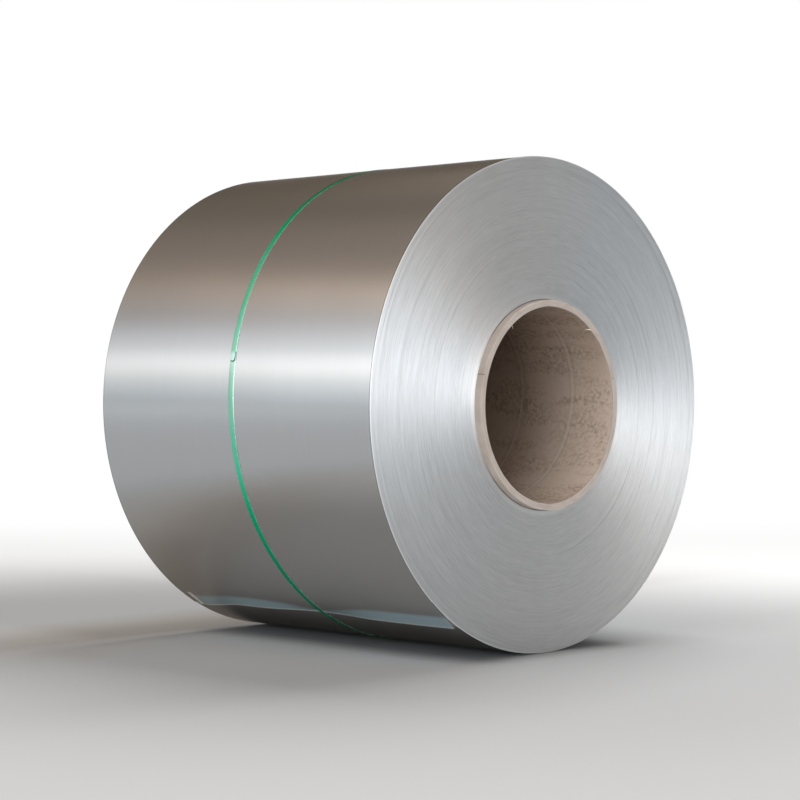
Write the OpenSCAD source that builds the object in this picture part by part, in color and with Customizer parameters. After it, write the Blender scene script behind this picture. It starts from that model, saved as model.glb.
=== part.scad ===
// Coil of cold-rolled steel strip, wound on a paper core and held by one plastic strap.
// The coil lies on its side with its axis along X. The origin is on the floor, under its middle.

/* [Wound strip] */
// Outside diameter of the coil over the outer wrap
coil_od = 1285; // [1000:5:1800]
// Width of the strip, which is the length of the coil
strip_w = 1020; // [600:5:1600]
// Thickness of the strip, which is the step at the tail of the outer wrap
strip_t = 1; // [0.4:0.1:2]
// Angle of the tail edge, from the front of the coil towards its top
tail_angle = -59; // [-80:1:-20]

/* [Turns on the ends] */
// Number of bands of turns that stand out or in on each end
bands = 52; // [12:1:80]
// Furthest that a band stands back from the end
band_depth = 1.6; // [0.4:0.1:4]
// Radial build of the tight turns that stand proud at the outer rim
rim_build = 9; // [4:1:20]

/* [Paper core] */
// Inside diameter of the core
core_bore_d = 508; // [400:2:620]
// Thickness of the core's wall
core_wall = 18; // [8:1:25]
// Length of core that stands out of each end of the coil
core_proud = 21; // [5:1:40]

/* [Strap] */
// Width of the strap
strap_w = 19; // [10:1:32]
// Thickness of the strap
strap_t = 1; // [0.5:0.1:2]
// Place of the strap along the coil, from the middle towards the front end
strap_place = 12; // [-300:1:300]
// Angle by which the strap lies out of square with the coil
strap_skew = 1.9; // [-4:0.1:4]
// Angle of the lap joint's free end, from the front of the coil towards its top
lap_angle = 10; // [-10:0.5:80]
// Length of the lap joint along the strap
lap_length = 90; // [40:5:160]

/* [Hidden] */
$fn = 180;

// Where a cutting shape runs past the solid that it cuts
past = 5;

outer_r = coil_od / 2;
core_od = core_bore_d + 2 * core_wall;
core_length = strip_w + 2 * core_proud;

// The outer wrap is a spiral of two half circles, so its radius drops by one strip in a turn.
// Each half's centre lies a quarter of a strip from the axis, on the line through the tail.
centre_shift = strip_t / 4;
upper_r = outer_r - strip_t / 4;
lower_r = outer_r - 3 * strip_t / 4;

// Height of the coil's axis when the strap under it touches the floor
axis_height = lower_r + strap_t - centre_shift * cos(-90 - tail_angle);

// Share of the way to its tangent point at which the strap meets the wrap below the tail
bridge_share = 0.7;

// Bands of turns, from the core out to the tight turns at the rim
band_seed = 7;
band_inner_r = core_od / 2;
band_outer_r = outer_r - rim_build;
band_share = rands(0.4, 1.6, bands, band_seed);
band_step = rands(0, 1, bands, band_seed + 1);
function sum_to(list, count) = count == 0 ? 0 : list[count - 1] + sum_to(list, count - 1);
function band_r(i) =
    band_inner_r + (band_outer_r - band_inner_r) * sum_to(band_share, i) / sum_to(band_share, bands);
function band_half_length(i) = strip_w / 2 - band_depth * band_step[i];

// Places the shapes that are drawn round the local Z axis onto the coil's axis.
// Local X points to the front of the coil, at its side, and local Y points up.
module on_coil_axis() {
    translate([0, 0, axis_height])
        rotate([90, 0, -90])
            children();
}

module half_disc(r, side) {
    intersection() {
        circle(r);
        translate([-2 * r, side > 0 ? 0 : -2 * r])
            square([4 * r, 2 * r]);
    }
}

// Section of the coil, or of something that lies a given height over its outer wrap
module wrap_section(over = 0) {
    rotate(tail_angle) {
        translate([centre_shift, 0])
            half_disc(upper_r + over, 1);
        translate([-centre_shift, 0])
            half_disc(lower_r + over, -1);
    }
}

module wrap_solid(over, length) {
    linear_extrude(height = length, center = true)
        wrap_section(over);
}

// Half of the coil's turned outline, from the core to past the outer wrap, with a step at each band
function end_outline() = [
    for (i = [0 : bands - 1], edge = [0, 1]) [band_r(i + edge), band_half_length(i)],
    [band_outer_r, strip_w / 2],
    [outer_r + past, strip_w / 2]
];

function mirrored(points) = [for (i = [len(points) - 1 : -1 : 0]) [points[i][0], -points[i][1]]];

module steel_coil() {
    color([0.66, 0.66, 0.65])
        on_coil_axis()
            intersection() {
                rotate_extrude()
                    polygon(concat(end_outline(), mirrored(end_outline())));
                wrap_solid(0, strip_w + 2 * past);
            }
}

module core_tube() {
    color([0.72, 0.65, 0.58])
        on_coil_axis()
            difference() {
                cylinder(d = core_od, h = core_length, center = true);
                cylinder(d = core_bore_d, h = core_length + 2 * past, center = true);
            }
}

// Wedge of a cylinder round the coil's axis, between two angles
module wedge(from_angle, to_angle, reach, length) {
    linear_extrude(height = length, center = true)
        polygon([
            [0, 0],
            reach * [cos(from_angle), sin(from_angle)],
            reach * [cos(to_angle), sin(to_angle)]
        ]);
}

// Fills the straight run of the strap from the tail's edge down to the wrap below it
module tail_bridge(length) {
    edge_r = outer_r + strap_t;
    under_r = lower_r + strap_t;
    meet_angle = -bridge_share * acos(under_r / (edge_r + centre_shift));
    edge = [edge_r, 0];
    meet = [under_r * cos(meet_angle) - centre_shift, under_r * sin(meet_angle)];
    linear_extrude(height = length, center = true)
        rotate(tail_angle)
            polygon([[0, 0], edge, meet + (meet - edge) / 2]);
}

// Fills the strap up to its second layer at the lap joint
module lap_layer(length) {
    lap_span = lap_length / outer_r * 180 / PI;
    intersection() {
        wrap_solid(2 * strap_t, length);
        wedge(lap_angle, lap_angle + lap_span, coil_od, length);
    }
}

module strap() {
    ring_length = strap_w + 2 * outer_r * abs(tan(strap_skew)) + 4 * past;
    color([0.12, 0.55, 0.38])
        on_coil_axis()
            translate([0, 0, -strap_place])
                intersection() {
                    difference() {
                        union() {
                            wrap_solid(strap_t, ring_length);
                            tail_bridge(ring_length + past);
                            lap_layer(ring_length + past);
                        }
                        wrap_solid(0, ring_length + 4 * past);
                    }
                    rotate([strap_skew, 0, 0])
                        cube([2 * coil_od, 2 * coil_od, strap_w], center = true);
                }
}

steel_coil();
core_tube();
strap();
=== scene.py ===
import math

import bpy
import numpy as np
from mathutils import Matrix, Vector


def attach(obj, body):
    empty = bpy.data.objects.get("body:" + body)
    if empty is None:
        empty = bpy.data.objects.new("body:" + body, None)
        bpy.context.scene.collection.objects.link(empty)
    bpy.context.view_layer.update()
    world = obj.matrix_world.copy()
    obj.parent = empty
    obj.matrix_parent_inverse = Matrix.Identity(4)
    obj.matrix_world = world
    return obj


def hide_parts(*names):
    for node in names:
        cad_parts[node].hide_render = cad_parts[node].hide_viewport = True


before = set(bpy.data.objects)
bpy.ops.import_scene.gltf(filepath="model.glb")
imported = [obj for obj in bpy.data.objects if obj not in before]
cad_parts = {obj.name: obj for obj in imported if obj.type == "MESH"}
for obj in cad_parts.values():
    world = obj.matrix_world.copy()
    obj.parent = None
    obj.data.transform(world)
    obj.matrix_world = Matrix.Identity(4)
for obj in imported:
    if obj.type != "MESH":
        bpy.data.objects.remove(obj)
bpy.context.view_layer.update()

# Sizes of the solids, in metres. Angles go round the axis from the front of the coil towards its top.
R = 0.6425
HALF_W = 0.510
STRIP_T = 0.001
CORE_IN = 0.254
CORE_OUT = 0.272
CORE_HALF = 0.531
STRAP_W = 0.019
STRAP_T = 0.001
STRAP_X = 0.012
STRAP_SKEW = math.radians(1.9)
TAIL = math.radians(-59.0)
LAP_ANGLE = math.radians(10.0)
LAP_LENGTH = 0.090

# The outer wrap is a spiral of two half circles, with their centres to both sides of the axis
SHIFT = STRIP_T / 4
UPPER_R = R - STRIP_T / 4
LOWER_R = R - 3 * STRIP_T / 4
AXIS_Z = LOWER_R + STRAP_T - SHIFT * math.cos(math.radians(-90.0) - TAIL)

# Sprung end of the strip: where the strap crosses the tail, and how far along the tail it holds it down
TAIL_STRAP_X = STRAP_X - math.tan(STRAP_SKEW) * R * math.sin(TAIL)
HOLD = 0.13
# The sheet leaves the coil at a crease, which is nearer to the tail's edge where the strap holds it
CREASE = 0.046
CREASE_HELD = 0.012
CREASE_SLOPE = 0.17
CREASE_ROUND = 0.007
# Towards its rear corner the tail springs less, and the corner itself lies close to the coil
REAR_FROM = -0.4
REAR_SHARE = 0.75
CORNER_FROM = -0.455
CORNER_TO = -0.512
# The very edge curls out
CURL = 0.004
CURL_SLOPE = 0.55
# Angle past the tail's edge over which the sheet is shaped
FLAP = math.radians(7.0)
# Degrees by which the tail's edge is turned up, and by which its rear corner hangs below that
TAIL_RISE = 1.0
CORNER_HANG = 2.2
# Distances from the middle towards the rear at which the corner starts to hang and hangs in full
HANG_FROM = 0.28
HANG_TO = 0.45
# Painted marks on the face by the tail: where the painted bluish reflection ends, and the middle of the pale
# painted highlight
PAINTED_CAST_END = -0.484
PAINTED_CAST_FULL = -0.474
PAINTED_HIGHLIGHT_X = 0.033 - HALF_W

# Turns on the ends: the bands and the tight turns outside them, and how the bands are set back and tilted
TURN_BANDS = 178
TIGHT_BUILD = 0.0065
TIGHT_BACK = 0.0001
BAND_BACK = 0.0005
BAND_SPREAD = 0.0003
BAND_DRIFT = 0.0004
BAND_MOST = 0.0016
BAND_TILT = 0.00012
BAND_LEAN = 0.00008
FIRST_BANDS = (0.0002, 0.0010, 0.0004)
# Bands over which the drift is evened out, and draws past the last band
DRIFT_BANDS = 9
DRIFT_SPARE = 12

# Core: the inner ply is wound on a slant, with its seam at SEAM_START along the front of the bore
SEAM_PITCH = 0.178
SEAM_START = 0.388 + SEAM_PITCH / 2
SEAM_GROOVE = 0.008
GROOVE_DEPTH = 0.0005
GROOVE_WIDTH = 0.002
CORE_END = 0.020
CORE_EDGE = 0.0030
# Wear of the core's edges, and the nicks of its inner ones
EDGE_WEAR = 0.0007
NICK_DEPTH = 0.0022
NICK_FROM = 0.9
# Marks on the front end of the core
SCRATCH_ANGLE = math.radians(17.0)
DOT_ANGLE = math.radians(164.7)
DOT_RADIUS = 0.262
# Both ends of each loose fibre, as Y and the height over the axis
TORN_FIBRES = [((-0.1545, 0.2060), (-0.1500, 0.1935)), ((0.1660, 0.1955), (0.1375, 0.1972))]
# Set-back, bend and half width of a fibre, its taper from end to end, and its lean along X, Y and Z
FIBRE_BACK = 0.0006
FIBRE_CURVE = 0.0012
FIBRE_HALF = 0.0014
FIBRE_TAPER = (1.0, 0.9, 0.8, 0.7, 0.6, 0.45, 0.25)
FIBRE_LEAN = (0.0, 0.4, 0.9)

# Strap: rounding of its edges, and the rim, tip and shaded start of its lap
STRAP_ROUND = 0.0009
LAP_RIM = 0.0022
LAP_TIP = 0.008
LAP_BLUNT = 0.001
LAP_SHADE = 0.0028
LAP_RIM_END = 0.026
# How far the lap's tip stands off the first layer, and the length over which that fades
LAP_LIFT = 0.0013
LAP_LIFT_FADE = 0.012

# Fineness of the meshes: points across and round the outer wrap, and round or along the other pieces
WRAP_COLUMNS = 97
WRAP_STEPS = 400
END_STEPS = 260
CORE_STEPS = 240
BORE_ROWS = 220
STRAP_STEPS = 1081

# Seeds of the random draws
FRONT_SEED = 21
REAR_SEED = 34
CORE_SEED = 5

WHITE = (1.0, 1.0, 1.0)


# Mesh helpers

def smooth_step(a, b, x):
    t = np.clip((x - a) / (b - a), 0.0, 1.0)
    return t * t * (3.0 - 2.0 * t)


def on_axis(x, radius, theta):
    """Points in the part's frame, from the place along the axis, the radius and the angle."""
    x, radius, theta = np.broadcast_arrays(x, radius, theta)
    return np.stack([x, -radius * np.cos(theta), AXIS_Z + radius * np.sin(theta)], axis=-1)


def grid_faces(rows, cols, wrap=False, flip=False):
    """Quads over a grid of points, as vertex numbers, and the grid corner that each comes from."""
    i, j = np.meshgrid(np.arange(rows - 1), np.arange(cols if wrap else cols - 1), indexing="ij")
    i, j = i.ravel(), j.ravel()
    k = (j + 1) % cols
    quads = np.stack([i * cols + j, i * cols + k, (i + 1) * cols + k, (i + 1) * cols + j], axis=1)
    corner = np.stack([i, j, i, j + 1, i + 1, j + 1, i + 1, j], axis=1).reshape(-1, 4, 2)
    if flip:
        quads = quads[:, ::-1]
        corner = corner[:, ::-1]
    return quads, corner


def run_length(a, b):
    """Length along a line of points from its first one, given both coordinates of each."""
    return np.concatenate([[0.0], np.cumsum(np.hypot(np.diff(a), np.diff(b)))])


class Builder:
    """Gathers grids of points into one mesh, with a UV for each corner."""

    def __init__(self):
        self.points = []
        self.quads = []
        self.uvs = []
        self.smooth = []
        self.mats = []
        self.count = 0

    def grid(self, points, u, v, wrap=False, flip=False, smooth=True, mat=0):
        rows, cols = points.shape[:2]
        quads, corner = grid_faces(rows, cols, wrap, flip)
        self.points.append(points.reshape(-1, 3))
        self.quads.append(quads + self.count)
        self.count += rows * cols
        u = np.asarray(u, float)
        v = np.asarray(v, float)
        self.uvs.append(np.stack([u[corner[..., 0]], v[corner[..., 1]]], axis=-1))
        self.smooth.append(np.full(len(quads), smooth))
        self.mats.append(np.full(len(quads), mat, np.int32))

    def make(self, name, materials):
        points = np.concatenate(self.points).astype(np.float32)
        quads = np.concatenate(self.quads).astype(np.int32)
        uvs = np.concatenate(self.uvs).reshape(-1, 2).astype(np.float32)
        mesh = bpy.data.meshes.new(name)
        mesh.vertices.add(len(points))
        mesh.vertices.foreach_set("co", points.ravel())
        mesh.loops.add(len(quads) * 4)
        mesh.loops.foreach_set("vertex_index", quads.ravel())
        mesh.polygons.add(len(quads))
        mesh.polygons.foreach_set("loop_start", np.arange(0, len(quads) * 4, 4, dtype=np.int32))
        mesh.polygons.foreach_set("material_index", np.concatenate(self.mats))
        mesh.update(calc_edges=True)
        mesh.polygons.foreach_set("use_smooth", np.concatenate(self.smooth))
        layer = mesh.uv_layers.new(name="grain")
        layer.data.foreach_set("uv", uvs.ravel())
        for material in materials:
            mesh.materials.append(material)
        mesh.validate()
        obj = bpy.data.objects.new(name, mesh)
        bpy.context.scene.collection.objects.link(obj)
        return obj


# Material helpers

class Nodes:
    """The node tree of a material or of the world, with short ways to add and join nodes."""

    def __init__(self, owner):
        owner.use_nodes = True
        self.owner = owner
        self.tree = owner.node_tree
        self.shader = self.tree.nodes.get("Principled BSDF")

    def add(self, kind, **settings):
        node = self.tree.nodes.new(kind)
        for key, value in settings.items():
            setattr(node, key, value)
        return node

    def join(self, out, into):
        self.tree.links.new(out, into)

    def feed(self, value, socket):
        if isinstance(value, bpy.types.NodeSocket):
            self.join(value, socket)
        else:
            socket.default_value = value

    def math(self, operation, a, b=0.0, c=0.0):
        node = self.add("ShaderNodeMath", operation=operation)
        for value, socket in zip((a, b, c), node.inputs):
            self.feed(value, socket)
        return node.outputs[0]

    def plus(self, a, b):
        return self.math("ADD", a, b)

    def minus(self, a, b):
        return self.math("SUBTRACT", a, b)

    def times(self, a, b):
        return self.math("MULTIPLY", a, b)

    def distance(self, a, b=0.0):
        return self.math("ABSOLUTE", self.minus(a, b))

    def diagonal(self, a, b):
        return self.math("SQRT", self.plus(self.times(a, a), self.times(b, b)))

    def at_least(self, value, low):
        return self.math("MAXIMUM", value, low)

    def coord(self, kind):
        return self.add("ShaderNodeTexCoord").outputs[kind]

    def split(self, vector):
        node = self.add("ShaderNodeSeparateXYZ")
        self.join(vector, node.inputs[0])
        return node.outputs

    def place(self):
        """X, the radius from the coil's axis, and the direction round it as its share of Y and of Z."""
        x, y, height = self.split(self.coord("Object"))
        z = self.minus(height, AXIS_Z)
        radius = self.diagonal(y, z)
        return x, radius, self.math("DIVIDE", y, radius), self.math("DIVIDE", z, radius)

    def angle(self, cy, cz):
        """Angle round the axis, from the front to the top."""
        return self.math("ARCTAN2", cz, self.times(cy, -1.0))

    def run(self):
        """Length along the strip or the strap, from the UV map."""
        return self.split(self.add("ShaderNodeUVMap", uv_map="grain").outputs[0])[1]

    def vector(self, x, y, z):
        node = self.add("ShaderNodeCombineXYZ")
        for value, socket in zip((x, y, z), node.inputs):
            self.feed(value, socket)
        return node.outputs[0]

    def noise(self, vector, scale, detail=2.0, roughness=0.5):
        node = self.add("ShaderNodeTexNoise")
        self.join(vector, node.inputs["Vector"])
        node.inputs["Scale"].default_value = scale
        node.inputs["Detail"].default_value = detail
        node.inputs["Roughness"].default_value = roughness
        return node.outputs["Fac"]

    def streaks(self, value, per_metre, cy, cz, per_turn, detail=2.0, roughness=0.5):
        """Noise that is fine across one coordinate and drawn out round the axis."""
        place = self.vector(self.times(value, per_metre), self.times(cy, per_turn), self.times(cz, per_turn))
        return self.noise(place, 1.0, detail, roughness)

    def ramp(self, value, stops):
        node = self.add("ShaderNodeValToRGB")
        elements = node.color_ramp.elements
        while len(elements) < len(stops):
            elements.new(0.5)
        for element, (at, colour) in zip(elements, stops):
            element.position = at
            element.color = (*colour, 1.0)
        self.join(value, node.inputs[0])
        return node.outputs[0]

    def graded(self, value, stops):
        """A ramp whose stops are given in the value's own units, from the lowest to the highest."""
        low, high = stops[0][0], stops[-1][0]
        share = self.span(value, low, high, 0.0, 1.0)
        return self.ramp(share, [((at - low) / (high - low), colour) for at, colour in stops])

    def span(self, value, low, high, to_low, to_high):
        node = self.add("ShaderNodeMapRange")
        self.join(value, node.inputs[0])
        for number, at in zip((low, high, to_low, to_high), (1, 2, 3, 4)):
            node.inputs[at].default_value = number
        return node.outputs[0]

    def ease(self, value, low, high):
        node = self.add("ShaderNodeMapRange", interpolation_type="SMOOTHSTEP")
        self.join(value, node.inputs[0])
        node.inputs[1].default_value = low
        node.inputs[2].default_value = high
        return node.outputs[0]

    def mix(self, factor, a, b, blend="MIX"):
        node = self.add("ShaderNodeMix", data_type="RGBA", blend_type=blend)
        self.feed(factor, node.inputs[0])
        for value, at in ((a, 6), (b, 7)):
            if isinstance(value, tuple):
                value = (*value, 1.0)
            self.feed(value, node.inputs[at])
        return node.outputs[2]

    def tint(self, tone, by):
        return self.mix(1.0, tone, by, "MULTIPLY")

    def dim(self, tone, by):
        """A colour multiplied by a plain number."""
        return self.tint(tone, self.vector(by, by, by))

    def bump(self, height, strength, distance):
        node = self.add("ShaderNodeBump")
        node.inputs["Strength"].default_value = strength
        node.inputs["Distance"].default_value = distance
        self.join(height, node.inputs["Height"])
        self.join(node.outputs["Normal"], self.shader.inputs["Normal"])

    def grain(self):
        node = self.add("ShaderNodeTangent", direction_type="UV_MAP", uv_map="grain")
        self.join(node.outputs[0], self.shader.inputs["Tangent"])

    def set(self, **values):
        for key, value in values.items():
            self.feed(value, self.shader.inputs[key.replace("_", " ")])


def new_material(name):
    return Nodes(bpy.data.materials.new(name))


# Materials

def strip_face_material():
    """Rolled face of the strip: rolling lines run round the coil, and its sprung end has a painted bluish
    reflection.
    """
    m = new_material("strip_face")
    x, _, cy, cz = m.place()
    lines = m.streaks(x, 260.0, cy, cz, 2.4, 3.0, 0.6)
    cloud = m.streaks(x, 5.0, cy, cz, 4.0, 3.0, 0.55)
    tone = m.ramp(lines, [(0.25, (0.592, 0.592, 0.587)), (0.75, (0.614, 0.614, 0.61))])
    tone = m.mix(m.span(cloud, 0.3, 0.7, 0.0, 0.16), tone, (0.56, 0.545, 0.52))
    # painted reflection: the bluish band, as wide as the sprung end, stops short of the rear edge
    from_tail = m.run()
    off = m.times(m.minus(x, TAIL_STRAP_X), 1.0 / HOLD)
    free = m.minus(1.0, m.math("EXPONENT", m.times(m.times(off, off), -1.0)))
    sprung = m.times(free, m.span(x, REAR_FROM, 0.0, REAR_SHARE, 1.0))
    inside = m.minus(m.plus(m.times(sprung, CREASE - CREASE_HELD), CREASE_HELD), from_tail)
    painted_cast = m.times(m.ease(inside, -0.010, 0.008), m.ease(x, PAINTED_CAST_END, PAINTED_CAST_FULL))
    tone = m.mix(m.times(painted_cast, 0.95), tone, (0.68, 0.90, 0.98))
    # painted highlight: a pale patch beside the rear corner of the tail
    painted_corner_highlight = m.times(m.ease(m.distance(x, PAINTED_HIGHLIGHT_X), 0.011, 0.005), m.ease(from_tail, 0.056, 0.046))
    tone = m.mix(painted_corner_highlight, tone, (0.90, 0.89, 0.88))
    # painted highlight: a bright line along the tail's edge; painted shade: dark slit edges at both ends of
    # the coil
    tone = m.mix(m.ease(from_tail, 0.0028, 0.0012), tone, (0.90, 0.93, 0.93))
    slit = m.ease(m.distance(x), HALF_W - 0.004, HALF_W - 0.001)
    tone = m.mix(m.times(slit, 0.6), tone, (0.25, 0.235, 0.22))
    rough = m.plus(m.span(lines, 0.3, 0.7, 0.0, 0.012), m.span(cloud, 0.3, 0.7, 0.19, 0.215))
    m.set(Base_Color=tone, Roughness=rough, Metallic=m.minus(1.0, m.times(painted_corner_highlight, 0.5)))
    m.set(Anisotropic=0.65, Specular_Tint=(0.5, 0.46, 0.42, 1.0))
    m.grain()
    m.bump(lines, 0.025, 0.0004)
    return m.owner


def strip_edge_material():
    """Slit edges of the turns on the coil's ends: fine broken streaks run round the axis."""
    m = new_material("strip_edges")
    _, radius, cy, cz = m.place()
    fine = m.streaks(radius, 380.0, cy, cz, 8.0, 2.0, 0.6)
    micro = m.streaks(radius, 900.0, cy, cz, 16.0, 2.0, 0.7)
    rare = m.streaks(radius, 360.0, cy, cz, 3.6, 0.0)
    rings = m.streaks(radius, 90.0, cy, cz, 0.9, 2.0, 0.6)
    tone = m.ramp(fine, [(0.3, (0.60, 0.599, 0.594)), (0.5, (0.64, 0.639, 0.634)),
                         (0.7, (0.68, 0.679, 0.675))])
    tone = m.mix(m.span(micro, 0.4, 0.7, 0.0, 0.25), tone, (0.54, 0.535, 0.53))
    tone = m.mix(m.times(m.ease(rare, 0.67, 0.76), 0.18), tone, (0.42, 0.42, 0.415))
    # painted reflection: a warmer cast at the upper left, and a cooler one to both sides of it
    upper = m.minus(m.times(cz, 0.93), m.times(cy, 0.37))
    painted_cast = m.graded(upper, [(-0.80, (1.0, 0.995, 0.985)), (-0.30, (0.965, 0.985, 1.0)),
                            (0.70, (0.965, 0.985, 1.0)), (0.94, (1.0, 0.985, 0.955))])
    tone = m.tint(tone, painted_cast)
    tone = m.mix(m.span(rings, 0.4, 0.65, 0.0, 0.2), tone, (0.52, 0.52, 0.515))
    # painted light: the first turns on the core, and the last ones under the outer wrap on the front half,
    # are made paler
    last_turns = m.times(m.ease(radius, R - 0.005, R - 0.0025), m.ease(cy, 0.2, -0.3))
    painted_paler_turns = m.math("MAXIMUM", m.ease(radius, 0.292, 0.276), last_turns)
    tone = m.mix(m.times(painted_paler_turns, 0.7), tone, (0.86, 0.86, 0.855))
    # painted highlight: a brighter patch of turns over the front of the core
    worn = m.times(m.ease(radius, 0.350, 0.285), m.ease(m.minus(cz, cy), 0.9, 1.3))
    tone = m.mix(m.times(worn, 0.35), tone, (0.84, 0.84, 0.835))
    # painted shade: a dark gap between the core and the first turn, at the top and the bottom
    painted_gap_shade = m.times(m.ease(radius, 0.2748, 0.2732), m.ease(m.distance(cz), 0.45, 0.75))
    tone = m.mix(m.times(painted_gap_shade, 0.8), tone, (0.10, 0.095, 0.09))
    m.set(Base_Color=tone, Roughness=m.span(fine, 0.3, 0.7, 0.58, 0.53), Metallic=1.0, Anisotropic=0.78)
    m.grain()
    height = m.plus(m.times(fine, 0.5), m.plus(m.times(micro, 0.2), m.times(rings, 0.4)))
    m.bump(height, 0.22, 0.0006)
    return m.owner


def core_board_material():
    """Wound brown board of the core's outside and ends, with its plies as rings."""
    m = new_material("core_board")
    x, radius, cy, cz = m.place()
    plies = m.streaks(radius, 700.0, cy, cz, 5.0)
    fibre = m.noise(m.coord("Object"), 180.0, 4.0, 0.7)
    blot = m.noise(m.coord("Object"), 14.0, 3.0, 0.6)
    tone = m.ramp(plies, [(0.3, (0.40, 0.338, 0.29)), (0.7, (0.50, 0.44, 0.395))])
    tone = m.mix(m.span(fibre, 0.35, 0.65, 0.0, 0.35), tone, (0.52, 0.465, 0.42))
    tone = m.mix(m.span(blot, 0.45, 0.7, 0.0, 0.35), tone, (0.37, 0.285, 0.235))
    # a dark scratch along the rim of the front end, and a dark dot on that end
    front = m.ease(x, 0.4, 0.5)
    angle = m.angle(cy, cz)
    sway = m.plus(m.minus(angle, SCRATCH_ANGLE), m.span(fibre, 0.3, 0.7, -0.003, 0.003))
    scratch = m.times(m.ease(m.distance(sway), 0.006, 0.003), m.ease(radius, 0.2665, 0.2690))
    tone = m.mix(m.times(m.times(scratch, front), 0.75), tone, (0.10, 0.09, 0.08))
    round_off = m.times(m.minus(angle, DOT_ANGLE), DOT_RADIUS)
    spread = m.diagonal(round_off, m.minus(radius, DOT_RADIUS))
    dot = m.times(m.ease(spread, 0.0024, 0.0014), front)
    tone = m.mix(m.times(dot, 0.8), tone, (0.10, 0.08, 0.07))
    # loose fibres stand inside the bore and are pale
    tone = m.mix(m.ease(radius, CORE_IN - 0.0002, CORE_IN - 0.0012), tone, (0.72, 0.66, 0.59))
    m.set(Base_Color=tone, Roughness=0.85, Specular_IOR_Level=0.25)
    m.bump(m.plus(plies, m.times(fibre, 0.7)), 0.35, 0.0008)
    return m.owner


def core_bore_material():
    """Inside of the core: brown paper, speckled in rows, with pale slanted seams, and painted shade deep
    inside.
    """
    m = new_material("core_bore_paper")
    x, _, cy, cz = m.place()
    rows = m.streaks(x, 5.0, cy, cz, 5.5)
    speck = m.noise(m.coord("Object"), 100.0, 3.0, 0.55)
    fibre = m.noise(m.coord("Object"), 420.0, 3.0, 0.7)
    mottle = m.times(m.span(rows, 0.42, 0.60, 0.15, 1.0), m.span(speck, 0.40, 0.68, 0.0, 1.0))
    tone = m.ramp(fibre, [(0.3, (0.70, 0.57, 0.475)), (0.7, (0.80, 0.665, 0.565))])
    tone = m.mix(m.times(mottle, 0.75), tone, (0.36, 0.27, 0.19))
    # the seams have a dark border and a ragged edge
    place = m.plus(x, m.times(m.angle(cy, cz), SEAM_PITCH / (2 * math.pi)))
    offset = m.math("WRAP", m.minus(place, SEAM_START), SEAM_PITCH / 2, -SEAM_PITCH / 2)
    ragged = m.plus(m.distance(offset), m.span(speck, 0.3, 0.7, -0.0012, 0.0012))
    tone = m.mix(m.times(m.ease(ragged, 0.014, 0.008), 0.15), tone, (0.30, 0.22, 0.16))
    tone = m.mix(m.times(m.ease(ragged, 0.0065, 0.0035), 0.5), tone, (0.86, 0.74, 0.63))
    # painted shade: the bore is darkened deep inside and towards its top, and made paler by the openings
    deep = m.graded(m.distance(x), [(0.05, (0.21, 0.175, 0.14)), (0.21835, (0.33, 0.295, 0.265)),
                                    (0.41075, (0.81, 0.80, 0.79)), (CORE_HALF, (1.05, 1.05, 1.05))])
    painted_top_shade = m.graded(cz, [(-1.0, (0.97, 0.97, 0.97)), (0.0, (0.88, 0.87, 0.86)), (1.0, (0.56, 0.52, 0.48))])
    m.set(Base_Color=m.tint(m.tint(tone, deep), painted_top_shade), Roughness=0.8, Specular_IOR_Level=0.3)
    m.bump(m.plus(m.times(speck, 0.6), m.times(fibre, 0.4)), 0.3, 0.001)
    return m.owner


def strap_material(name, tones, shine, edge, tip=None):
    """Shiny green polyester strap with faint streaks along it. Its colours go by the angle, in degrees, and
    carry painted light and shade.
    """
    m = new_material(name)
    x, _, cy, cz = m.place()
    streak = m.streaks(x, 260.0, cy, cz, 6.0)
    patch = m.streaks(x, 40.0, cy, cz, 25.0)
    angle = m.times(m.angle(cy, cz), 180.0 / math.pi)
    tone = m.graded(angle, tones)
    # painted highlight: the right edge is made pale, up to the upper part of the coil
    middle = m.minus(STRAP_X, m.times(cz, math.tan(STRAP_SKEW) * R))
    rim = m.times(m.ease(m.minus(x, middle), 0.0055, 0.0080), m.ease(angle, 70.0, 56.0))
    tone = m.mix(m.times(rim, edge), tone, (0.50, 0.74, 0.62))
    worn = m.ramp(m.plus(m.times(streak, 0.5), m.times(patch, 0.5)),
                  [(0.35, (0.93, 0.93, 0.93)), (0.65, WHITE)])
    tone = m.tint(tone, worn)
    if tip:
        from_tip = m.minus(m.run(), LAP_ANGLE * R)
        tone = m.mix(m.ease(from_tip, 0.032, 0.014), tone, tip)
    m.set(Base_Color=tone, Roughness=m.span(patch, 0.3, 0.7, 0.24, 0.30), Metallic=shine)
    m.set(Coat_Weight=0.15, Coat_Roughness=0.16, Coat_IOR=1.5, Specular_Tint=(0.1, 0.5, 0.3, 1.0))
    m.bump(patch, 0.03, 0.0003)
    return m.owner


# Painted light and shade on the strap by angle: a pale painted highlight round the weld, a fuller green to
# both sides, and painted shade towards the top and the bottom
STRAP_PAINTED_TONES = [
    (-60, (0.004, 0.46, 0.24)),
    (-42, (0.004, 0.54, 0.29)),
    (-26, (0.004, 0.74, 0.39)),
    (-9, (0.18, 0.76, 0.50)),
    (7, (0.40, 0.69, 0.53)),
    (9.6, (0.54, 0.78, 0.66)),
    (12, (0.34, 0.64, 0.49)),
    (22, (0.24, 0.83, 0.55)),
    (37, (0.16, 0.92, 0.58)),
    (46, (0.006, 0.80, 0.38)),
    (60, (0.004, 0.46, 0.22)),
    (74, (0.002, 0.22, 0.11)),
    (110, (0.004, 0.46, 0.24)),
]
# Painted shade for the lap's tip, right rim, underside and ends
PAINTED_SHADE_TONES = [(-60, (0.08, 0.23, 0.17)), (110, (0.10, 0.25, 0.19))]

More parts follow.
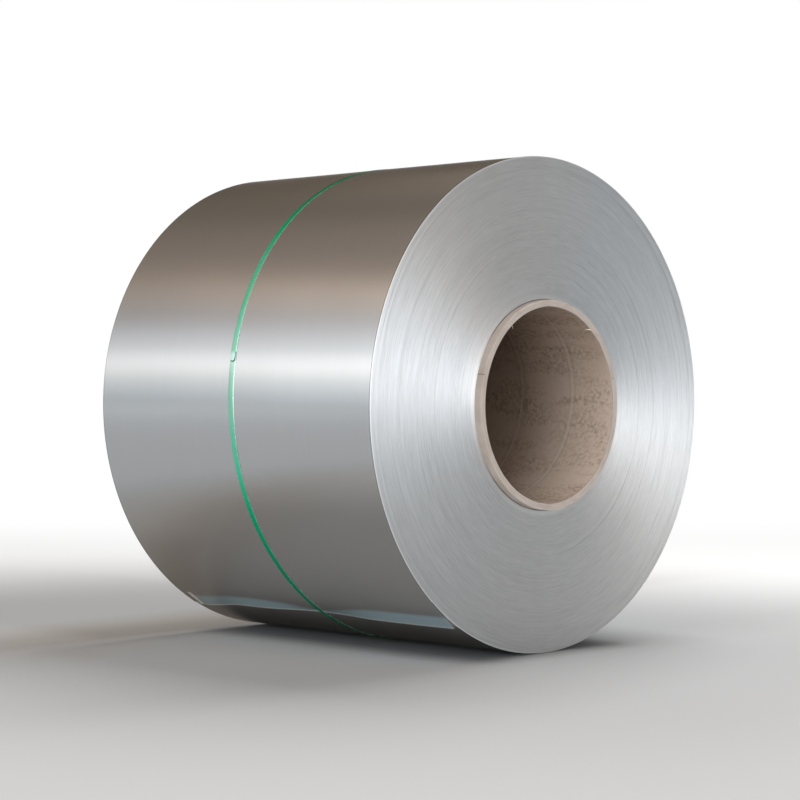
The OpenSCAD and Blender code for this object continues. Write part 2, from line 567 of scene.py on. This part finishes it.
FACE = strip_face_material()
EDGES = strip_edge_material()
BOARD = core_board_material()
BORE = core_bore_material()
STRAP = strap_material("strap_green", STRAP_PAINTED_TONES, 0.85, 0.7)
WELD = strap_material("strap_lap", STRAP_PAINTED_TONES, 0.85, 0.7, (0.72, 0.94, 0.86))
STRAP_PAINTED_SHADE = strap_material("strap_painted_shade", PAINTED_SHADE_TONES, 0.3, 0.0)


# Outer wrap of the strip

def wrap_radius(alpha):
    """Radius of the outer wrap at an angle past the tail's edge."""
    turn = alpha % (2 * math.pi)
    first = turn <= math.pi
    c = np.where(first, SHIFT, -SHIFT)
    r = np.where(first, UPPER_R, LOWER_R)
    radius = c * np.cos(turn) + np.sqrt(r * r - (c * np.sin(turn)) ** 2)
    return radius - STRIP_T * np.floor(alpha / (2 * math.pi))


def held(x):
    """1 where the strap holds the tail down, 0 away from it."""
    return np.exp(-((x - TAIL_STRAP_X) / HOLD) ** 2)


def wave(x, theta):
    """Slight waviness of the rolled sheet."""
    return (0.00012 * np.sin(9.0 * x + 2.0 * np.sin(2 * theta) + 0.7)
            + 0.00010 * np.sin(17.0 * x - 3.0 * np.cos(theta) + 2.1)
            + 0.00016 * np.sin(5.0 * theta + 3.0 * x))


def wrap_points(x, alpha, inward=0.0):
    """Points of the sheet over a grid of places along the axis and angles past the tail's edge."""
    x, alpha = np.meshgrid(x, alpha, indexing="xy")
    theta = TAIL + alpha
    sprung = (1.0 - held(x)) * np.interp(x, (REAR_FROM, 0.0), (REAR_SHARE, 1.0))
    past_crease = (CREASE_HELD + (CREASE - CREASE_HELD) * sprung - alpha * R) / CREASE_ROUND
    lift = CREASE_SLOPE * sprung * CREASE_ROUND * np.logaddexp(0.0, past_crease)
    lift = np.where(alpha < 2 * FLAP, lift, 0.0) * smooth_step(CORNER_TO, CORNER_FROM, x)
    lift = lift + CURL_SLOPE / (2 * CURL) * np.maximum(CURL - alpha * R, 0.0) ** 2
    # the rear corner hangs lower than the rest of the tail
    near = np.clip(1.0 - alpha / FLAP, 0.0, 1.0)
    bow = near * np.radians(CORNER_HANG * smooth_step(HANG_FROM, HANG_TO, -x) - TAIL_RISE)
    calm = smooth_step(0.0, FLAP, alpha) * (1 - smooth_step(6.0, 6.28, alpha))
    radius = wrap_radius(alpha) + lift - inward + wave(x, theta) * calm
    return on_axis(x, radius, theta - bow)


def outer_wrap():
    """The last turn as a sheet: its outer face all round, and its inner face and edges at the tail."""
    build = Builder()
    x = np.linspace(-HALF_W, HALF_W, WRAP_COLUMNS)
    curl = np.linspace(0.0, CURL / R, 7)[:-1]
    alpha = np.concatenate([
        curl,
        np.linspace(CURL / R, FLAP, 46)[:-1],
        np.linspace(FLAP, 2 * math.pi, WRAP_STEPS),
        np.linspace(2 * math.pi, 2 * math.pi + 2 * FLAP, 16)[1:],
    ])
    build.grid(wrap_points(x, alpha), alpha * R, x, flip=True)
    flap = np.concatenate([curl, np.linspace(CURL / R, FLAP * 1.5, 30)])
    build.grid(wrap_points(x, flap, STRIP_T), flap * R, x)
    tail = np.zeros(1)
    edge = np.stack([wrap_points(x, tail)[0], wrap_points(x, tail, STRIP_T)[0]])
    build.grid(edge, [0.0, STRIP_T], x, smooth=False)
    for side, flip in ((-HALF_W, True), (HALF_W, False)):
        end = np.array([side])
        rim = np.stack([wrap_points(end, flap)[:, 0], wrap_points(end, flap, STRIP_T)[:, 0]])
        build.grid(rim, [0.0, STRIP_T], flap * R, smooth=False, flip=flip)
    # the grain's tangent is the first UV direction, so the width of the strip comes first
    build.uvs = [uv[..., ::-1] for uv in build.uvs]
    return build.make("outer_wrap", [FACE])


# Ends of the coil

def end_bands(seed):
    """Radii and set-backs of the bands of turns, from the core to the outer wrap."""
    gen = np.random.default_rng(seed)
    widths = gen.uniform(0.5, 1.6, TURN_BANDS)
    radii = np.concatenate([[0.0], np.cumsum(widths)])
    radii = CORE_OUT + (R - TIGHT_BUILD - CORE_OUT) * radii / radii[-1]
    draws = gen.normal(size=TURN_BANDS + DRIFT_SPARE)
    drift = np.convolve(draws, np.ones(DRIFT_BANDS) / DRIFT_BANDS, "same")[:TURN_BANDS]
    back = BAND_BACK + BAND_SPREAD * gen.uniform(-1, 1, TURN_BANDS) + BAND_DRIFT * drift
    back[:len(FIRST_BANDS)] = FIRST_BANDS
    return radii, np.clip(back, 0.0, BAND_MOST), gen


def coil_end(name, side, seed):
    """One end of the coil: bands of turns, each with its own set-back, tilt and lean."""
    radii, back, gen = end_bands(seed)
    cols = END_STEPS
    theta = np.linspace(0.0, 2 * math.pi, cols, endpoint=False)
    outline = wrap_radius((theta - TAIL) % (2 * math.pi))
    rows = []
    place = []
    for i, depth in enumerate(back):
        phase = gen.uniform(0, 2 * math.pi)
        size = gen.uniform(0, BAND_TILT)
        lean = gen.uniform(-BAND_LEAN, BAND_LEAN)
        for radius, tilt in ((radii[i], -lean), (radii[i + 1], lean)):
            rows.append(np.full(cols, radius))
            place.append(depth + size * np.sin(theta + phase) + tilt)
    # the outermost turns are tight and flush with the edge of the outer wrap
    rows += [np.full(cols, radii[-1]), outline]
    place += [np.full(cols, TIGHT_BACK), np.zeros(cols)]
    radius = np.array(rows)
    back = np.maximum(np.array(place), 0.0)
    points = on_axis(side * (HALF_W - back), radius, theta[None, :])
    u = run_length(radius.mean(1), back.mean(1))
    build = Builder()
    build.grid(points, u, np.arange(cols + 1) / cols, wrap=True, smooth=False, flip=side > 0)
    return build.make(name, [EDGES])


# Paper core

def core_end_profile():
    """Outline of a cut end, as radius and place: plies stand a little out or in, and both edges are worn."""
    profile = [
        (CORE_OUT, CORE_HALF - CORE_END),
        (CORE_OUT, CORE_HALF - 0.0025),
        (CORE_OUT - 0.0004, CORE_HALF - 0.0009),
        (CORE_OUT - 0.0014, CORE_HALF - 0.0002),
    ]
    for k, r in enumerate(np.linspace(CORE_OUT - 0.0030, CORE_IN + 0.0028, 9)):
        step = 0.0004 if k % 2 else 0.0
        profile += [(r + 0.0001, CORE_HALF - step), (r - 0.0014, CORE_HALF - step)]
    profile += [
        (CORE_IN + 0.0010, CORE_HALF - 0.0003),
        (CORE_IN + 0.0002, CORE_HALF - 0.0012),
        (CORE_IN, CORE_HALF - CORE_EDGE),
    ]
    return np.array(profile)


def bore_points(x, theta):
    """Inside of the core: a fine groove runs along both sides of the slanted seam."""
    x, theta = np.meshgrid(x, theta, indexing="ij")
    along = (x + SEAM_PITCH * theta / (2 * math.pi) - SEAM_START) / SEAM_PITCH
    part = along - np.floor(along)
    away = np.minimum(part, 1 - part) * SEAM_PITCH
    groove = GROOVE_DEPTH * np.exp(-((away - SEAM_GROOVE) / GROOVE_WIDTH) ** 2)
    ripple = 0.0003 * np.sin(7 * theta + 5 * x) + 0.0002 * np.sin(40 * x + 3 * theta)
    fade = smooth_step(0.0, CORE_END, CORE_HALF - np.abs(x))
    return on_axis(x, CORE_IN + (groove + ripple) * fade, theta)


def fibre_points(ends):
    """A loose fibre of board on the inner edge of the front end, as a slim sliver."""
    count = len(FIBRE_TAPER)
    start, end = np.array(ends)
    at = start + np.linspace(0.0, 1.0, count)[:, None] * (end - start)
    curve = FIBRE_CURVE * np.sin(np.linspace(0.0, math.pi, count))
    side = FIBRE_HALF * np.array(FIBRE_TAPER)
    x = np.full(count, CORE_HALF - FIBRE_BACK)
    middle = np.stack([x, at[:, 0], at[:, 1] + AXIS_Z + curve], axis=-1)
    across = np.array(FIBRE_LEAN)[None, :] * side[:, None]
    return np.stack([middle - across, middle + across])


def core_tube():
    """The core: both cut ends, the outside, the bore and the loose fibres."""
    build = Builder()
    cols = CORE_STEPS
    theta = np.linspace(0.0, 2 * math.pi, cols, endpoint=False)
    turn = np.arange(cols + 1) / cols
    gen = np.random.default_rng(CORE_SEED)
    ragged = np.convolve(np.tile(gen.normal(size=cols), 3), np.ones(3) / 3, "same")[cols:2 * cols]
    profile = core_end_profile()
    # the edges are worn back, and the inner one has nicks
    wear = np.zeros(len(profile))
    wear[-3:] = (0.25, 0.5, 0.3)
    wear[2:4] = (0.3, 0.3)
    nick = np.maximum(np.abs(ragged) - NICK_FROM, 0.0)
    inner_edge = np.arange(len(profile)) >= len(profile) - 3
    r = profile[:, :1] + NICK_DEPTH * nick[None, :] * inner_edge[:, None]
    x = profile[:, 1:] - EDGE_WEAR * np.abs(ragged)[None, :] * wear[:, None]
    u = run_length(r[:, 0], x[:, 0])
    for side in (-1, 1):
        build.grid(on_axis(side * x, r, theta[None, :]), u, turn, wrap=True, flip=side > 0)
    # outside of the tube, hidden in the coil
    x = np.array([-CORE_HALF + CORE_END, CORE_HALF - CORE_END])
    build.grid(on_axis(x[:, None], CORE_OUT, theta[None, :]), x, turn, wrap=True, flip=True)
    x = np.linspace(-CORE_HALF + CORE_EDGE, CORE_HALF - CORE_EDGE, BORE_ROWS)
    build.grid(bore_points(x, theta), x, turn, wrap=True, mat=1)
    for ends in TORN_FIBRES:
        points = fibre_points(ends)
        build.grid(points, [0.0, 1.0], np.linspace(0.0, 1.0, points.shape[1]))
    return build.make("core_tube_paper", [BOARD, BORE])


# Strap

def strap_x(theta):
    """Place of the strap's middle along the coil, at an angle round it."""
    return STRAP_X - math.tan(STRAP_SKEW) * R * np.sin(theta)


def strap_radius(theta):
    """Radius of the strap's inner face: on the wrap, and straight over the step below the tail."""
    alpha = (theta - TAIL) % (2 * math.pi)
    on_wrap = wrap_radius(alpha)
    below = 2 * math.pi - alpha
    reach = math.sqrt(2 * STRIP_T / R)
    bridge = R / np.cos(np.minimum(below, reach)) - R * np.minimum(below, reach) ** 2
    return np.where(below < reach, np.maximum(on_wrap, bridge), on_wrap)


# Points over the strap's top: a rounded edge, the line where the rim starts, and the other edge
BEND_POINTS = 6
RIM_ROW = BEND_POINTS
TOP_ROWS = 2 * BEND_POINTS + 1


def strap_section(half_width):
    """Outline over the strap's top, from its left foot to its right foot, as width and height."""
    bend = np.linspace(0.0, math.pi / 2, BEND_POINTS)
    left_x = -half_width + STRAP_ROUND - STRAP_ROUND * np.cos(bend)
    left_h = STRAP_T - STRAP_ROUND + STRAP_ROUND * np.sin(bend)
    rim = max(half_width - LAP_RIM, 0.0)
    x = np.concatenate([left_x, [rim], -left_x[::-1]])
    h = np.concatenate([left_h, [STRAP_T], left_h[::-1]])
    return x, h


def strap_run(build, theta, lift, half_width, parts):
    """One layer of the strap along a list of angles. A part has ranges along and across, and a material."""
    rows_x = []
    rows_h = []
    for half in half_width:
        x, h = strap_section(half)
        rows_x.append(np.concatenate([x, x[::-1], x[:1]]))
        rows_h.append(np.concatenate([h, np.zeros_like(h), h[:1]]))
    x = np.array(rows_x).T + strap_x(theta)[None, :]
    r = np.array(rows_h).T + (strap_radius(theta) + lift)[None, :]
    u = run_length(x[:, -1], r[:, -1])
    points = on_axis(x, r, theta[None, :])
    for first, last, low, high, mat in parts:
        build.grid(points[low:high, first:last], u[low:high], (theta * R)[first:last], mat=mat)
    return points


def strap_piece():
    """The strap's ring, and the second layer over it at the welded lap."""
    build = Builder()
    whole = 2 * TOP_ROWS + 1
    ring = np.linspace(TAIL, TAIL + 2 * math.pi, STRAP_STEPS)
    strap_run(build, ring, 0.0, np.full(len(ring), STRAP_W / 2), [(0, len(ring), 0, whole, 0)])
    # the lap: painted shade on its rounded tip, on its right rim near the tip, and on its underside
    tip_part = np.linspace(0.0, LAP_SHADE, 8)
    rim_part = np.linspace(LAP_SHADE, LAP_RIM_END, 16)
    along = np.concatenate([tip_part[:-1], rim_part[:-1], np.linspace(LAP_RIM_END, LAP_LENGTH, 30)])
    count = len(along)
    shade = len(tip_part)
    rim = shade + len(rim_part) - 1
    before_full = np.clip(1 - (along + LAP_BLUNT) / (LAP_TIP + LAP_BLUNT), 0, 1)
    width = STRAP_W / 2 * np.sqrt(1 - before_full ** 2)
    lift = STRAP_T + LAP_LIFT * np.exp(-along / LAP_LIFT_FADE)
    parts = [
        (0, shade, 0, TOP_ROWS, 2),
        (shade - 1, count, 0, RIM_ROW + 1, 1),
        (shade - 1, rim, RIM_ROW, TOP_ROWS, 2),
        (rim - 1, count, RIM_ROW, TOP_ROWS, 1),
        (0, count, TOP_ROWS - 1, whole, 2),
    ]
    points = strap_run(build, LAP_ANGLE + along / R, lift, width, parts)
    across = np.arange(TOP_ROWS) * 0.002
    for column, flip in ((0, True), (-1, False)):
        top = points[:TOP_ROWS, column]
        foot = points[TOP_ROWS:2 * TOP_ROWS, column][::-1]
        build.grid(np.stack([top, foot]), [0.0, STRAP_T], across, flip=flip, smooth=False, mat=2)
    return build.make("strap_band", [STRAP, WELD, STRAP_PAINTED_SHADE])


wrap = outer_wrap()
front = coil_end("front_end_turns", 1, FRONT_SEED)
rear = coil_end("rear_end_turns", -1, REAR_SEED)
core = core_tube()
strap = strap_piece()
for piece, node, slot in ((wrap, "steel_coil", "strip_steel"), (front, "steel_coil", "strip_steel"),
                          (rear, "steel_coil", "strip_steel"), (core, "core_tube", "core_board"),
                          (strap, "strap", "strap_plastic")):
    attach(piece, "root")
    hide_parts(node)


# Floor, light and camera

# Camera: its angles round and above the coil, its distance, and its focal length and shift in pixels
AZIMUTH = math.radians(44.16)
ELEVATION = math.radians(0.65)
DISTANCE = 6.028
FOCAL_PX = 2191.0
SHIFT_X_PX = -3.98
SHIFT_Y_PX = 3.46
IMAGE_PX = 800.0
SENSOR = 36.0
CLIP_END = 200.0
MIDDLE = Vector((0.0, 0.0, AXIS_Z))

# Floor: its radius, its first ring, and the half width of its plain part, which opens behind the coil
FLOOR_R = 90.0
FLOOR_FIRST = 0.6
FLOOR_RINGS = 40
FLOOR_STEPS = 96
PLAIN_HALF = 1.2
PLAIN_SLOPE = 0.3
# Painted shadow on the floor close to the coil, by X
FLOOR_PAINTED_SHADE = [
    (-1.0, (0.45, 0.445, 0.44)),
    (-0.80, (0.385, 0.36, 0.335)),
    (-0.68, (0.34, 0.312, 0.288)),
    (-0.58, (0.335, 0.308, 0.285)),
    (-0.48, (0.44, 0.43, 0.42)),
    (-0.40, (0.515, 0.51, 0.505)),
    (-0.10, (0.53, 0.53, 0.53)),
    (0.40, (0.53, 0.53, 0.53)),
    (0.70, (0.60, 0.60, 0.60)),
]
# Floor to both sides of the view, by the way out from its border
FLOOR_SIDES = [
    (0.0, (0.45, 0.455, 0.46)),
    (0.2, (0.48, 0.49, 0.50)),
    (0.5, (0.55, 0.57, 0.59)),
    (3.0, (0.58, 0.60, 0.63)),
    (10.0, (0.72, 0.76, 0.79)),
]
# Sky colours by height over the horizon, in degrees
SKY_FRONT = [
    (0, (0.66, 0.73, 0.77)),
    (5, (0.96, 1.02, 1.08)),
    (7.5, (1.11, 1.16, 1.19)),
    (10, (1.43, 1.45, 1.46)),
    (12.5, (1.69, 1.69, 1.72)),
    (15, (1.49, 1.51, 1.55)),
    (17.5, (1.09, 1.14, 1.19)),
    (24, (0.83, 0.83, 0.86)),
    (28, (0.68, 0.66, 0.65)),
    (36, (0.80, 0.65, 0.54)),
    (40, (0.45, 0.37, 0.31)),
    (44, (0.31, 0.25, 0.215)),
    (50, (0.27, 0.23, 0.195)),
    (90, (0.22, 0.20, 0.18)),
]
SKY_BACK_LEFT = [
    (0, (1.0, 1.0, 1.0)),
    (9.7, (1.0, 1.0, 1.0)),
    (12, (0.26, 0.23, 0.20)),
    (16, (0.232, 0.20, 0.167)),
    (33, (0.255, 0.217, 0.18)),
    (40, (0.235, 0.20, 0.165)),
    (90, (0.20, 0.18, 0.16)),
]
SKY_BACK_RIGHT = [
    (0, (0.62, 0.64, 0.67)),
    (8, (0.6, 0.62, 0.65)),
    (12, (0.45, 0.46, 0.48)),
    (17, (0.25, 0.25, 0.25)),
    (32, (0.30, 0.305, 0.32)),
    (55, (0.28, 0.28, 0.28)),
    (90, (0.18, 0.165, 0.15)),
]
SKY_WINDOW = [
    (0, (1.9, 1.95, 2.0)),
    (2, (3.85, 3.93, 4.08)),
    (11, (3.85, 3.93, 4.08)),
    (15, (0.0, 0.0, 0.0)),
]
WINDOW_TURN = math.radians(20.0)
# A paler patch of the ceiling behind the coil, by the X of the direction
CEILING_PATCH = [
    (-0.7704, 1.25),
    (-0.7402, 1.06),
    (-0.7104, 1.10),
    (-0.6749, 1.84),
    (-0.6302, 1.84),
    (-0.5592, 1.0),
]


def floor_material():
    """Pale floor: painted shadow close to the coil, dimmer to both sides of the view, and white behind the
    coil.
    """
    m = new_material("floor_pale")
    x, y, _ = m.split(m.coord("Object"))
    cos_az = math.cos(AZIMUTH)
    sin_az = math.sin(AZIMUTH)
    across = m.plus(m.times(x, cos_az), m.times(y, sin_az))
    deep = m.minus(m.times(y, cos_az), m.times(x, sin_az))
    border = m.plus(m.times(m.at_least(deep, 0.0), PLAIN_SLOPE), PLAIN_HALF)
    out = m.minus(m.distance(across), border)
    # painted shadow round the coil's foot, fading to the plain floor by the way out from a block round it
    past_x = m.at_least(m.minus(m.distance(x, -0.30), 0.80), 0.0)
    past_y = m.at_least(m.minus(m.distance(y), 0.30), 0.0)
    away = m.diagonal(past_x, past_y)
    tone = m.mix(m.ease(away, 0.25, 2.4), m.graded(x, FLOOR_PAINTED_SHADE), (0.90, 0.90, 0.90))
    past_end = m.times(m.ease(m.distance(y), 0.52, 0.72), m.ease(x, -0.48, -0.62))
    tone = m.mix(m.times(past_end, 0.10), tone, (0.90, 0.88, 0.86))
    # painted contact shadow: a dark strip on the floor under the coil
    under = m.times(m.ease(m.distance(y), 0.36, 0.20), m.ease(m.distance(x), 0.62, 0.46))
    tone = m.mix(under, tone, (0.25, 0.25, 0.25))
    tone = m.tint(tone, (0.965, 0.985, 1.0))
    # towards the camera the warm light of the ceiling is evened out
    tone = m.mix(m.ease(deep, -1.5, -4.5), tone, (0.86, 0.90, 0.94))
    m.set(Base_Color=tone, Roughness=0.9, Specular_IOR_Level=0.0)
    # the far floor glows evenly, and its white part widens behind the coil and gets a softer border
    sides = m.dim(m.graded(out, FLOOR_SIDES), m.span(m.ease(across, 0.3, 1.5), 0.0, 1.0, 1.0, 0.98))
    behind = m.at_least(m.minus(deep, 1.0), 0.0)
    from_white = m.math("DIVIDE", m.minus(out, m.times(behind, 1.2)), m.plus(behind, 1.0))
    glow = m.add("ShaderNodeEmission")
    m.join(m.mix(m.ease(from_white, -0.45, -0.15), WHITE, sides), glow.inputs["Color"])
    beside = m.times(m.ease(out, -0.15, 0.35), m.ease(deep, -4.5, -1.2))
    blend = m.add("ShaderNodeMixShader")
    m.join(m.math("MAXIMUM", m.ease(deep, 0.8, 5.0), beside), blend.inputs[0])
    m.join(m.shader.outputs[0], blend.inputs[1])
    m.join(glow.outputs[0], blend.inputs[2])
    m.join(blend.outputs[0], m.tree.nodes["Material Output"].inputs["Surface"])
    return m.owner


def floor_piece():
    """A round floor, with rings that get wider outwards."""
    cols = FLOOR_STEPS
    rings = np.concatenate([[0.0], np.geomspace(FLOOR_FIRST, FLOOR_R, FLOOR_RINGS)])
    turn = np.linspace(0.0, 2 * math.pi, cols, endpoint=False)
    x = rings[:, None] * np.cos(turn)[None, :]
    y = rings[:, None] * np.sin(turn)[None, :]
    build = Builder()
    build.grid(np.stack([x, y, np.zeros_like(x)], axis=-1), rings, np.arange(cols + 1), wrap=True)
    return build.make("floor", [floor_material()])


def by_height(stops):
    return [(math.sin(math.radians(height)), colour) for height, colour in stops]


def sky():
    """Soft hall light: a bright band round the horizon, a dim warm ceiling, and a window wall by the end."""
    world = bpy.data.worlds.new("soft_hall")
    bpy.context.scene.world = world
    m = Nodes(world)
    x, y, z = m.split(m.coord("Generated"))
    front = m.dim(m.ramp(z, by_height(SKY_FRONT)), m.span(x, -0.92, -0.62, 0.38, 1.34))
    ceiling = m.dim(front, m.span(x, -0.85, -0.70, 0.55, 1.04))
    front = m.mix(m.ease(z, 0.33, 0.46), front, ceiling)
    left = m.ramp(z, by_height(SKY_BACK_LEFT))
    patch = m.graded(x, [(at, (share, share, share)) for at, share in CEILING_PATCH])
    height = m.times(m.ease(z, 0.40, 0.50), m.ease(z, 0.73, 0.67))
    left = m.mix(height, left, m.tint(left, patch))
    right = m.ramp(z, by_height(SKY_BACK_RIGHT))
    behind = m.mix(m.ease(x, -0.45, 0.1), left, right)
    turned = m.minus(y, m.times(m.ease(x, 0.0, 0.5), 0.12))
    light = m.mix(m.ease(turned, -0.1, 0.25), front, behind)
    ahead = m.minus(m.times(x, math.cos(WINDOW_TURN)), m.times(y, math.sin(WINDOW_TURN)))
    light = m.mix(m.ease(ahead, 0.47, 0.79), light, m.ramp(z, by_height(SKY_WINDOW)), "ADD")
    m.join(light, m.tree.nodes["Background"].inputs["Color"])


def lamp(name, place, size, power):
    """A soft lamp that the camera doesn't see, turned to the floor under the coil's axis."""
    data = bpy.data.lights.new(name, "AREA")
    data.shape = "RECTANGLE"
    data.size, data.size_y = size
    data.energy = power
    obj = bpy.data.objects.new(name, data)
    bpy.context.scene.collection.objects.link(obj)
    obj.location = place
    target = Vector((place[0], 0.0, 0.0))
    obj.rotation_euler = (target - Vector(place)).to_track_quat("-Z", "Y").to_euler()
    obj.visible_camera = False
    return obj


floor_piece()
sky()
# The first lamp lights the floor and the board, and the second is its longer, dimmer image in the steel
softbox = lamp("overhead_softbox", place=(-0.5, 2.4, 4.6), size=(2.0, 3.6), power=170.0)
softbox.visible_glossy = False
sheen = lamp("overhead_sheen", place=(-0.5, 2.6, 4.6), size=(2.0, 6.0), power=47.0)
sheen.visible_diffuse = False

camera_data = bpy.data.cameras.new("camera")
camera = bpy.data.objects.new("camera", camera_data)
bpy.context.scene.collection.objects.link(camera)
level = math.cos(ELEVATION)
back = Vector((math.sin(AZIMUTH) * level, -math.cos(AZIMUTH) * level, math.sin(ELEVATION)))
camera.location = MIDDLE + back * DISTANCE
camera.rotation_euler = (-back).to_track_quat("-Z", "Y").to_euler()
camera_data.sensor_width = SENSOR
camera_data.lens = FOCAL_PX / IMAGE_PX * SENSOR
camera_data.shift_x = SHIFT_X_PX / IMAGE_PX
camera_data.shift_y = SHIFT_Y_PX / IMAGE_PX
camera_data.clip_end = CLIP_END
bpy.context.scene.camera = camera

bpy.context.scene.view_settings.view_transform = "Standard"
